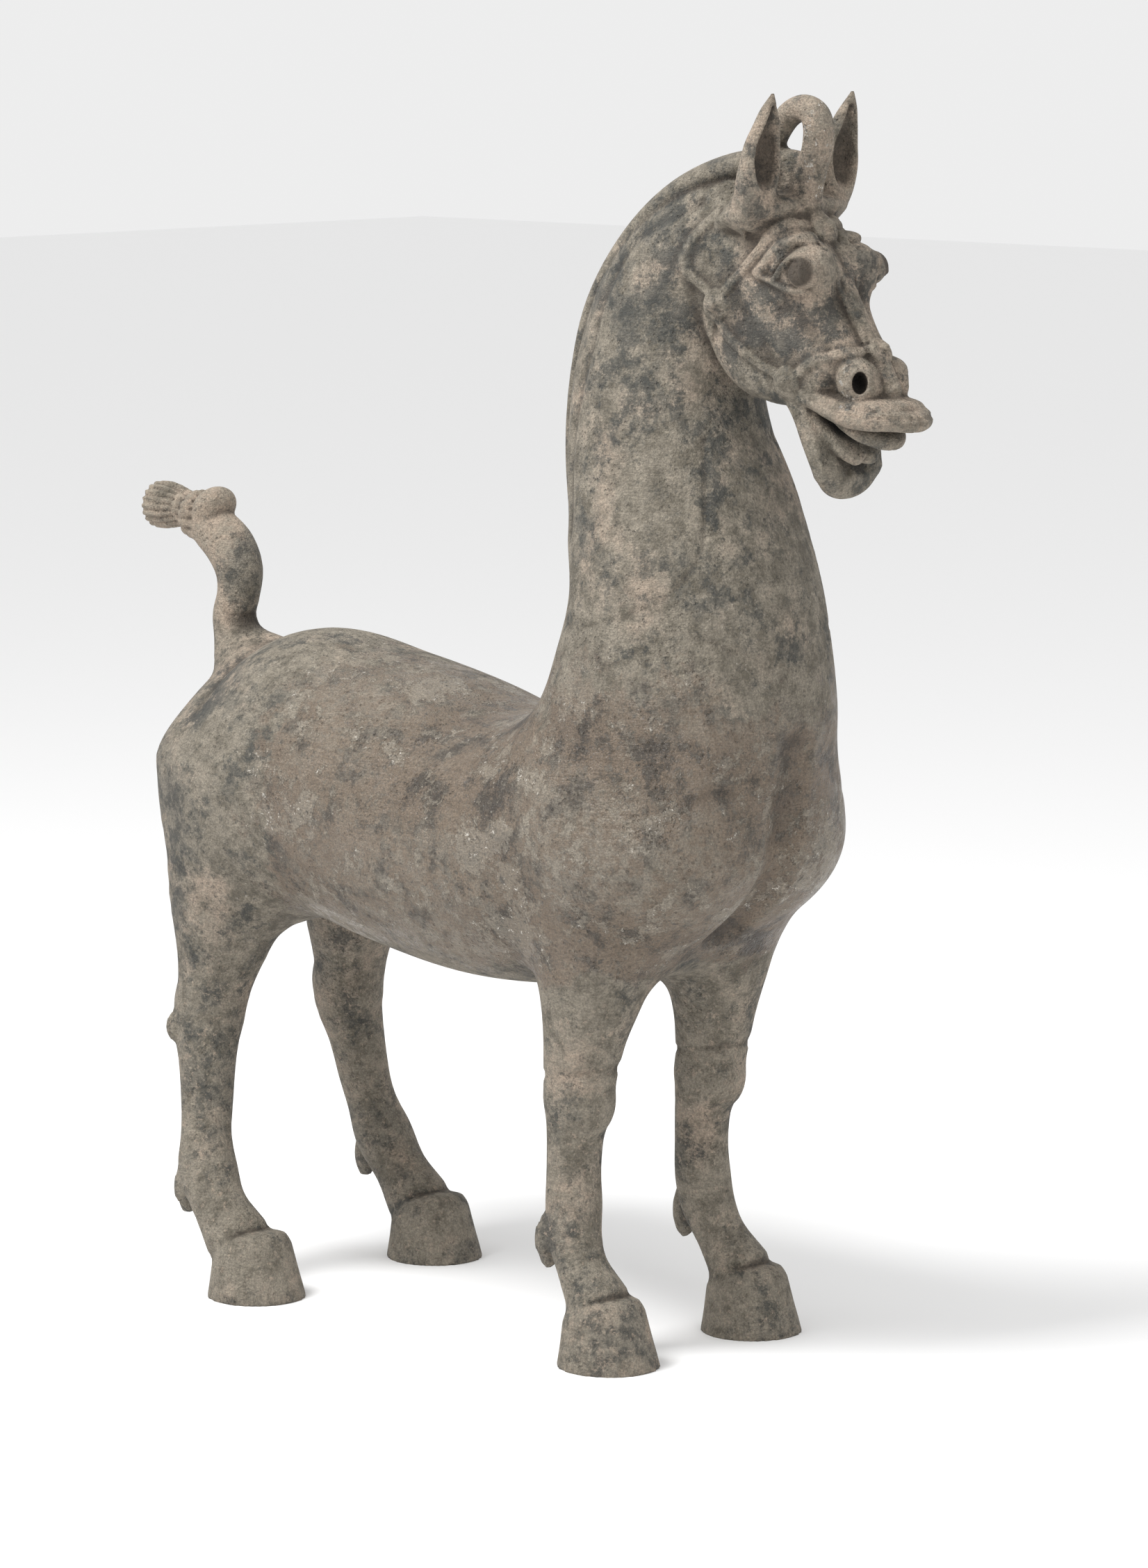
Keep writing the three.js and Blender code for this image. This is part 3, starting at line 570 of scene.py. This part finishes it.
def bridle():
    cheek = face(12, 88, 47)
    mouth = [313, 39, 780]
    brow = face(-1, -1, 0)
    nose = face(106, 0, 0)
    runs = [
        [brow, [309, 12, 897], [298, 24, 894], [293, 35, 888], [285, 44, 876]],
        [mouth, [325, 40, 788], [335, 39, 795], [351, 34, 801], [361, 24, 805], [367, 12, 806], nose],
        [nose, face(122, -1, 0), face(137, 0, 0)],
    ]
    for run in runs:
        draw(line(run), 5.4, 3.4)
        draw(line(run), 1.8, -1.4)
    side_runs = [
        [[285, 876], [272, 861], [260, 851], [247, 838]],
        [[243, 905], [231, 894], [221, 883], [215, 871], [216, 861], [225, 853], [242, 842]],
        [[246, 828], [256, 814], [270, 803], [288, 792], [306, 784]],
        [[245, 827], [240, 820], [238, 812]],
    ]
    for run in side_runs:
        draw(side_line(run), 5.4, 3.4)
        draw(side_line(run), 1.8, -1.4)
    boss(cheek, 12.5, [0, 0, 88], 0.46)
    boss(mouth, 12.5, [0, 0, 80], 0.62)
    boss(brow, 12.5, FACE_TURN)
    boss(nose, 11, FACE_TURN)


parts = [
    trunk, neck_and_chest, foreleg, hind_leg, tail, mane,
    skull, eye, nostril, chin, lips, bridle, forelock, ear,
    incised_lines,
]
for build in parts:
    build()


# Turning the form into a mesh: one vertex in each grid cell that the surface crosses.


def grid_lines(low, high, *zones):
    """Lines from low to high, closer together in each zone, which is from, to and a cell size."""
    lines = [low]
    while lines[-1] < high:
        cell = BODY_CELL
        for fine_from, fine_to, fine in zones:
            outside = max(fine_from - lines[-1], lines[-1] - fine_to, 0)
            cell = min(cell, fine + outside * CELL_GROWTH)
        lines.append(lines[-1] + cell)
    return np.array(lines)


def sample(axes):
    """The field at every grid node, worked out in full only in blocks near the surface."""
    shape = [len(a) for a in axes]
    counts = [-(-n // BLOCK) for n in shape]
    low = [a[::BLOCK] for a in axes]
    high = [a[np.minimum(np.arange(c) * BLOCK + BLOCK - 1, n - 1)] for a, c, n in zip(axes, counts, shape)]
    middle = np.stack(np.meshgrid(*[(a + b) / 2 for a, b in zip(low, high)], indexing="ij"), -1)
    half = np.stack(np.meshgrid(*[(b - a) / 2 for a, b in zip(low, high)], indexing="ij"), -1)
    rough = clay(middle.reshape(-1, 3)).reshape(counts)
    # The field may be a little off a true distance, so a block counts as near with some to spare.
    near_clay = np.abs(rough) < 1.25 * np.sqrt((half**2).sum(-1)) + 4
    spread = rough
    for axis in range(3):
        spread = np.repeat(spread, BLOCK, axis)
        near_clay = np.repeat(near_clay, BLOCK, axis)
    cutoff = tuple(slice(0, n) for n in shape)
    value = np.ascontiguousarray(spread[cutoff])
    i, j, k = np.nonzero(near_clay[cutoff])
    points = np.stack([axes[0][i], axes[1][j], axes[2][k]], -1)
    value[i, j, k] = clay(points)
    # The soles are cut flat at the ground.
    value[:, :, axes[2] < 0] = 1e12
    return value


def surface(axes, value):
    """Surface nets. Returns vertices and quads that face out."""
    inside = value < 0
    shape = np.array(value.shape) - 1
    total = np.zeros(tuple(shape) + (3,))
    count = np.zeros(tuple(shape))
    crossings = []
    for axis in range(3):
        size = [len(a) for a in axes]
        size[axis] -= 1
        a = [slice(None)] * 3
        b = [slice(None)] * 3
        a[axis], b[axis] = slice(0, -1), slice(1, None)
        cross = inside[tuple(a)] != inside[tuple(b)]
        i, j, k = np.nonzero(cross)
        lo = np.stack([i, j, k], -1)
        hi = lo.copy()
        hi[:, axis] += 1
        va, vb = value[tuple(lo.T)], value[tuple(hi.T)]
        t = va / (va - vb)
        spot = np.stack([axes[m][lo[:, m]] for m in range(3)], -1)
        step = axes[axis][hi[:, axis]] - axes[axis][lo[:, axis]]
        spot[:, axis] += t * step
        others = [m for m in range(3) if m != axis]
        for da in (-1, 0):
            for db in (-1, 0):
                cell = lo.copy()
                cell[:, others[0]] += da
                cell[:, others[1]] += db
                keep = ((cell >= 0) & (cell < shape)).all(1)
                c = tuple(cell[keep].T)
                np.add.at(total, c, spot[keep])
                np.add.at(count, c, 1)
        crossings.append((axis, lo, inside[tuple(lo.T)]))
    used = count > 0
    number = np.full(tuple(shape), -1)
    number[used] = np.arange(used.sum())
    vertices = total[used] / count[used][:, None]
    quads = []
    for axis, lo, first in crossings:
        o1, o2 = [(1, 2), (2, 0), (0, 1)][axis]
        corner = []
        for d1, d2 in ((-1, -1), (0, -1), (0, 0), (-1, 0)):
            cell = lo.copy()
            cell[:, o1] += d1
            cell[:, o2] += d2
            corner.append(number[tuple(cell.T)])
        quad = np.stack(corner, -1)
        quad[~first] = quad[~first][:, ::-1]
        quads.append(quad)
    return vertices, np.vstack(quads)


def horse_mesh():
    """The whole horse as one mesh. Its left half is sampled and the right half mirrors it."""
    along = grid_lines(-480, 440, (-445, -350, TAIL_CELL), (240, 425, HEAD_CELL))
    left = grid_lines(0, 172, (0, 58, HEAD_CELL))
    up = np.concatenate([[-1], grid_lines(0, 1012, (600, 665, TAIL_CELL), (690, 1000, HEAD_CELL))])
    value = sample([along, left, up])
    across = np.concatenate([-left[:0:-1], left])
    vertices, quads = surface([along, across, up], np.concatenate([value[:, :0:-1], value], 1))
    mesh = bpy.data.meshes.new("pottery_horse")
    mesh.from_pydata(vertices.tolist(), [], quads.tolist())
    mesh.validate()
    piece = bpy.data.objects.new("pottery_horse", mesh)
    bpy.context.scene.collection.objects.link(piece)
    shrink = piece.modifiers.new("fewer_faces", "DECIMATE")
    shrink.ratio = min(1, MOST_TRIANGLES / (2 * len(quads)))
    bpy.context.view_layer.update()
    fine = bpy.data.meshes.new_from_object(piece.evaluated_get(bpy.context.evaluated_depsgraph_get()))
    piece.modifiers.clear()
    piece.data = fine
    fine.name = "pottery_horse"
    return piece


def fit_to_frame(piece):
    """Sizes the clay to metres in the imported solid's box, and returns its places before that."""
    low, high = [np.array(v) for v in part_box("horse")]
    co = np.zeros(len(piece.data.vertices) * 3)
    piece.data.vertices.foreach_get("co", co)
    co = co.reshape(-1, 3)
    mine = np.array([co.min(0), co.max(0)])
    size = ((high - low) / (mine[1] - mine[0])).min()
    middle = (mine[0] + mine[1]) / 2
    place = (co - [middle[0], middle[1], mine[0][2]]) * size + [*((low + high) / 2)[:2], low[2]]
    piece.data.vertices.foreach_set("co", place.ravel())
    piece.data.update()
    return co


piece = horse_mesh()
spots = fit_to_frame(piece)
piece.data.shade_smooth()


# The clay's surface.


def fade(value, low, high):
    t = np.clip((value - low) / (high - low), 0, 1)
    return t * t * (3 - 2 * t)


def near(p, centre, half, turn=(0, 0, 0)):
    """1 inside an ellipsoid, falling to 0 a little outside it. The centre's y is on both sides."""
    q = p.copy()
    q[:, 1] = np.abs(q[:, 1])
    r = (q - np.array(centre, float)) @ turned(turn) / np.array(half, float)
    return 1 - fade(np.sqrt((r**2).sum(1)), 0.85, 1.15)


def hollows(mesh, p):
    """How far each vertex lies under (positive) or over its near and its wider surroundings."""
    edges = np.zeros(len(mesh.edges) * 2, int)
    mesh.edges.foreach_get("vertices", edges)
    a, b = edges.reshape(-1, 2).T
    normals = np.zeros(len(mesh.vertices) * 3)
    mesh.vertices.foreach_get("normal", normals)
    normals = normals.reshape(-1, 3)
    count = np.bincount(a, minlength=len(p)) + np.bincount(b, minlength=len(p))

    def around(v):
        total = np.bincount(a, v[b], len(p)) + np.bincount(b, v[a], len(p))
        return total / np.maximum(count, 1)

    found = []
    mean = p
    for rounds in SMOOTHING_ROUNDS:
        for _ in range(rounds):
            mean = np.stack([around(mean[:, m]) for m in range(3)], -1)
        bend = ((mean - p) * normals).sum(1)
        for _ in range(2):
            bend = 0.5 * bend + 0.5 * around(bend)
        found.append(bend)
    return found


def paint_regions(piece, p):
    """Where each kind of surface and each painted shade lies, as numbers from 0 to 1 at the vertices."""
    x, z = p[:, 0], p[:, 2]
    side = np.abs(p[:, 1])
    trunk_part = fade(x, -270, -130) * (1 - fade(z, 460, 640)) * fade(z, 240, 350)
    head = fade(0.8 * x + 0.6 * z, 700, 745)
    leg = 1 - fade(z, 250, 330)
    tail_end = fade(-x, 318, 336) * fade(z, 520, 545)
    rump = fade(-x, 215, 285) * fade(z, 250, 320) * (1 - tail_end)
    neck = fade(z, 540, 640) * (1 - head) * (1 - tail_end)
    fine, wide = hollows(piece.data, p)
    regions = {
        "worn_dark": trunk_part,
        "tan": np.clip(0.55 * rump + 0.95 * tail_end + 0.8 * head + 0.35 * leg + 0.3 * neck, 0, 1),
        "sooty": np.clip(
            0.75 * rump + 0.8 * neck + 0.35 * head + 0.6 * leg + 0.5 * trunk_part
            + 0.9 * near(p, face(48, 50, 44), [34, 26, 30]), 0, 1.4),
        "speckled": leg,
        # Dirt and painted shade in the hollows, deeper on the head.
        "hollow_shade_and_dirt": np.clip(fine * 2.2 + wide * (0.15 + 0.45 * head), 0, 1),
        "raised": np.clip(-fine * 2.0 - wide * 0.25, 0, 1),
        "chalky": np.clip(
            near(p, [309, 0, 955], [16, 14, 40]) + 0.7 * near(p, [372, 40, 781], [22, 18, 20]), 0, 1),
        # Painted shade in the gap of the mouth, the recess of the chin and the nostrils.
        "mouth_and_nostril_shade": np.clip(
            near(p, [349, 0, 746], [25, 43, 6.5], [0, 41, 0])
            + near(p, [366, 0, 730], [12, 30, 5], [0, 50, 0])
            + near(p, [372, 25, 781], [16, 5.5, 8], [0, 0, 44]), 0, 1),
        "eyeball": near(p, face(33, 3, 46), [12, 9, 11], FACE_TURN),
        "red_pigment": near(p, [383, 31, 780], [7, 6, 10], [0, 0, 44]),
    }
    for name, value in regions.items():
        layer = piece.data.attributes.new(name, "FLOAT", "POINT")
        layer.data.foreach_set("value", np.ascontiguousarray(value, np.float32))


GREY_BROWN = (0.105, 0.091, 0.068, 1)
PALE_GREY = (0.240, 0.211, 0.166, 1)
PINK_TAN = (0.350, 0.275, 0.210, 1)
CHARCOAL = (0.028, 0.032, 0.031, 1)
DARK_BROWN = (0.036, 0.026, 0.018, 1)
MID_BROWN = (0.148, 0.108, 0.074, 1)
# Chalk, also the colour of the painted glints on the barrel's flakes.
CHALK_AND_GLINT = (0.56, 0.53, 0.48, 1)
# Near black, for the painted shade in the mouth and the nostrils.
SHADE_BLACK = (0.008, 0.007, 0.006, 1)
RED = (0.30, 0.10, 0.06, 1)

# No grain is finer than this many to the metre.
FINEST = 1400
BUMP_STRENGTH = 0.8
BUMP_DEPTH = 0.005


def fired_clay():
    """Unglazed grey-brown clay with tan and sooty patches, pits, scratches, chalk-coloured flakes partly
    painted as sheen, and painted shade in the hollows and the mouth.
    """
    material = bpy.data.materials.new("fired_clay")
    material.use_nodes = True
    tree = material.node_tree
    shader = tree.nodes["Principled BSDF"]
    place = tree.nodes.new("ShaderNodeTexCoord").outputs["Object"]

    def put(socket, value):
        if isinstance(value, bpy.types.NodeSocket):
            tree.links.new(value, socket)
        else:
            socket.default_value = value

    def stretched(scale):
        n = tree.nodes.new("ShaderNodeMapping")
        put(n.inputs["Vector"], place)
        put(n.inputs["Scale"], scale)
        return n.outputs["Vector"]

    def noise(scale, detail=5.0, roughness=0.6, distortion=0.0, vector=None):
        n = tree.nodes.new("ShaderNodeTexNoise")
        put(n.inputs["Vector"], vector or place)
        put(n.inputs["Scale"], scale)
        put(n.inputs["Detail"], min(detail, max(1.0, math.log2(FINEST / scale))))
        put(n.inputs["Roughness"], roughness)
        put(n.inputs["Distortion"], distortion)
        return n.outputs[0]

    def cells(scale):
        n = tree.nodes.new("ShaderNodeTexVoronoi")
        put(n.inputs["Vector"], place)
        put(n.inputs["Scale"], scale)
        return n.outputs["Distance"]

    def between(value, low, high, to_low=0.0, to_high=1.0):
        n = tree.nodes.new("ShaderNodeMapRange")
        n.interpolation_type = "SMOOTHSTEP"
        for name, v in (("Value", value), ("From Min", low), ("From Max", high),
                        ("To Min", to_low), ("To Max", to_high)):
            put(n.inputs[name], v)
        return n.outputs["Result"]

    def reckon(kind, a, b):
        n = tree.nodes.new("ShaderNodeMath")
        n.operation = kind
        put(n.inputs[0], a)
        put(n.inputs[1], b)
        return n.outputs[0]

    def times(a, b):
        return reckon("MULTIPLY", a, b)

    def plus(a, b):
        return reckon("ADD", a, b)

    def region(name):
        n = tree.nodes.new("ShaderNodeAttribute")
        n.attribute_name = name
        return n.outputs["Fac"]

    def blend(amount, a, b, kind="MIX"):
        # The mix node has a set of sockets for each data type: the colours are inputs 6 and 7, output 2.
        n = tree.nodes.new("ShaderNodeMix")
        n.data_type = "RGBA"
        n.blend_type = kind
        put(n.inputs[0], amount)
        put(n.inputs[6], a)
        put(n.inputs[7], b)
        return n.outputs[2]

    # Mottled ground, then pinkish tan patches and sooty clouds.
    worn_dark, tan, sooty = region("worn_dark"), region("tan"), region("sooty")
    broad = noise(5.5, 5, 0.6)
    patches = noise(11, 8, 0.7)
    colour = blend(between(noise(44, 9, 0.78), 0.38, 0.62), GREY_BROWN, PALE_GREY)
    warm = between(plus(patches, times(tan, 0.20)), 0.54, 0.72)
    colour = blend(times(warm, between(noise(60, 8, 0.8), 0.34, 0.56, 0.35, 0.9)), colour, PINK_TAN)
    clouds = plus(noise(24, 10, 0.8), times(sooty, 0.08))
    clouds = plus(clouds, times(broad, 0.34))
    colour = blend(times(between(clouds, 0.70, 0.82), 0.85), colour, CHARCOAL)

    # The barrel's dark brown skin, with pale flakes that are partly painted sheen, and painted glints in
    # chalk colour on them.
    skin = between(plus(noise(13, 10, 0.78), times(worn_dark, 0.40)), 0.70, 0.80)
    brown = blend(between(plus(noise(30, 11, 0.82), times(broad, 0.2)), 0.50, 0.60), DARK_BROWN, MID_BROWN)
    colour = blend(times(skin, 0.88), colour, brown)
    # Pale flakes, partly real flaking and partly painted sheen.
    flakes_and_sheen = between(plus(noise(20, 11, 0.82), times(broad, 0.40)), 0.715, 0.755)
    flakes_and_sheen = times(flakes_and_sheen, plus(times(worn_dark, 0.85), 0.10))
    colour = blend(times(flakes_and_sheen, 0.55), colour, PALE_GREY)
    # Painted glints of sheen in chalk colour on the flakes.
    glints = between(noise(130, 9, 0.85), 0.60, 0.68)
    colour = blend(times(times(flakes_and_sheen, glints), 0.9), colour, CHALK_AND_GLINT)

    # Small dark and pale flecks, the legs' freckles, and chalk left on the forelock and the nose.
    grain = noise(520, 5, 0.75)
    fleck = noise(120, 8, 0.8)
    colour = blend(times(between(fleck, 0.58, 0.68), 0.65), colour, CHARCOAL)
    colour = blend(times(between(fleck, 0.44, 0.34), 0.35), colour, PALE_GREY)
    freckles = times(region("speckled"), between(noise(170, 5, 0.7), 0.58, 0.65))
    colour = blend(times(freckles, 0.6), colour, PINK_TAN)
    chalk = times(region("chalky"), between(noise(120, 8, 0.85), 0.58, 0.64))
    colour = blend(times(chalk, 0.85), colour, CHALK_AND_GLINT)

    # Rubbed edges, dirt and painted shade in the hollows, grain, the dark eyeballs, pigment, and painted
    # shade inside the mouth and the nostrils.
    rubbed = times(region("raised"), between(noise(80, 7, 0.75), 0.40, 0.60, 0.1, 0.7))
    colour = blend(rubbed, colour, PALE_GREY)
    # Dirt and painted shade in the hollows, in dark brown.
    colour = blend(times(region("hollow_shade_and_dirt"), 0.8), colour, DARK_BROWN)
    colour = blend(1.0, colour, between(grain, 0.30, 0.72, 0.72, 1.18), "MULTIPLY")
    colour = blend(times(region("eyeball"), 0.85), colour, DARK_BROWN)
    red = times(region("red_pigment"), between(noise(130, 5, 0.7), 0.38, 0.58, 0.25, 0.85))
    colour = blend(red, colour, RED)
    # Painted shade in the mouth and the nostrils.
    colour = blend(times(region("mouth_and_nostril_shade"), 0.93), colour, SHADE_BLACK)
    put(shader.inputs["Base Color"], colour)

    # The dark skin is the glossiest part.
    shine = plus(0.84, times(skin, between(noise(18, 9, 0.78), 0.38, 0.60, -0.52, -0.26)))
    put(shader.inputs["Roughness"], plus(shine, between(grain, 0.3, 0.7, -0.07, 0.07)))
    put(shader.inputs["Specular IOR Level"], 0.5)

    # Relief: pits, hair lines, lumps and the edges of the flakes.
    pits = between(cells(190), 0.10, 0.32, -1.0, 0.0)
    pits = times(pits, between(noise(26, 6, 0.7), 0.46, 0.58))
    hairs = between(noise(34, 5, 0.7, 2.0, stretched((1.0, 1.0, 8.0))), 0.44, 0.56)
    height = plus(times(noise(75, 9, 0.78), 1.2), times(grain, 0.25))
    height = plus(height, times(noise(24, 6, 0.65), 1.5))
    height = plus(height, times(pits, 0.7))
    height = plus(height, times(hairs, 0.06))
    height = plus(height, times(flakes_and_sheen, 0.3))
    bump = tree.nodes.new("ShaderNodeBump")
    put(bump.inputs["Height"], height)
    put(bump.inputs["Strength"], BUMP_STRENGTH)
    put(bump.inputs["Distance"], BUMP_DEPTH)
    put(shader.inputs["Normal"], bump.outputs["Normal"])
    return material


paint_regions(piece, spots)
piece.data.materials.clear()
piece.data.materials.append(fired_clay())

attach(piece, "root")
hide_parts("horse")


# Floor, light and camera.

# One thousandth of the height in metres, and how far the frame's middle lies behind the form's x = 0.
UNIT = 1.15 / 996.35
FRAME_SHIFT = 12.8 * UNIT

# The camera fitted to the hooves and the outline, in thousandths of the height and in the photo's pixels.
AZIMUTH = 43.8
DISTANCE = 4846
EYE_HEIGHT = 1128
AIM = (51, 0, 442)
FOCAL_PIXELS = 8748
PHOTO_PIXELS = 2256

FLOOR_SIZE = 30
FLOOR_GREY = 0.93
DAYLIGHT = 0.85


def studio():
    bpy.ops.mesh.primitive_plane_add(size=FLOOR_SIZE, location=(0, 0, 0))
    floor = bpy.context.object
    floor.name = "floor"
    paper = bpy.data.materials.new("paper")
    paper.use_nodes = True
    shader = paper.node_tree.nodes["Principled BSDF"]
    shader.inputs["Base Color"].default_value = (FLOOR_GREY, FLOOR_GREY, FLOOR_GREY, 1)
    shader.inputs["Roughness"].default_value = 0.9
    floor.data.materials.append(paper)

    world = bpy.data.worlds.new("studio")
    bpy.context.scene.world = world
    world.use_nodes = True
    sky = world.node_tree.nodes["Background"]
    sky.inputs["Color"].default_value = (1, 1, 1, 1)
    sky.inputs["Strength"].default_value = DAYLIGHT
    bpy.context.scene.view_settings.view_transform = "Standard"

    def lamp(name, place, aim, size, power):
        data = bpy.data.lights.new(name, "AREA")
        data.shape = "SQUARE"
        data.size = size
        data.energy = power
        obj = bpy.data.objects.new(name, data)
        obj.location = place
        obj.rotation_euler = (Vector(aim) - Vector(place)).to_track_quat("-Z", "Y").to_euler()
        bpy.context.scene.collection.objects.link(obj)

    lamp("overhead", (-0.6, -1.8, 3.3), (0, 0, 0.55), 1.3, 115)
    lamp("front", (3.4, -1.6, 2.4), (0, 0, 0.7), 1.4, 22)


def camera():
    azimuth = math.radians(AZIMUTH)
    across, behind = DISTANCE * math.sin(azimuth), -DISTANCE * math.cos(azimuth)
    eye_place = Vector((across * UNIT + FRAME_SHIFT, behind * UNIT, EYE_HEIGHT * UNIT))
    aim = Vector(AIM) * UNIT + Vector((FRAME_SHIFT, 0, 0))
    data = bpy.data.cameras.new("camera")
    data.sensor_fit = "VERTICAL"
    data.sensor_height = 36
    data.lens = data.sensor_height * FOCAL_PIXELS / PHOTO_PIXELS
    data.clip_end = 60
    obj = bpy.data.objects.new("camera", data)
    obj.location = eye_place
    obj.rotation_euler = (aim - eye_place).to_track_quat("-Z", "Y").to_euler()
    bpy.context.scene.collection.objects.link(obj)
    bpy.context.scene.camera = obj


studio()
camera()
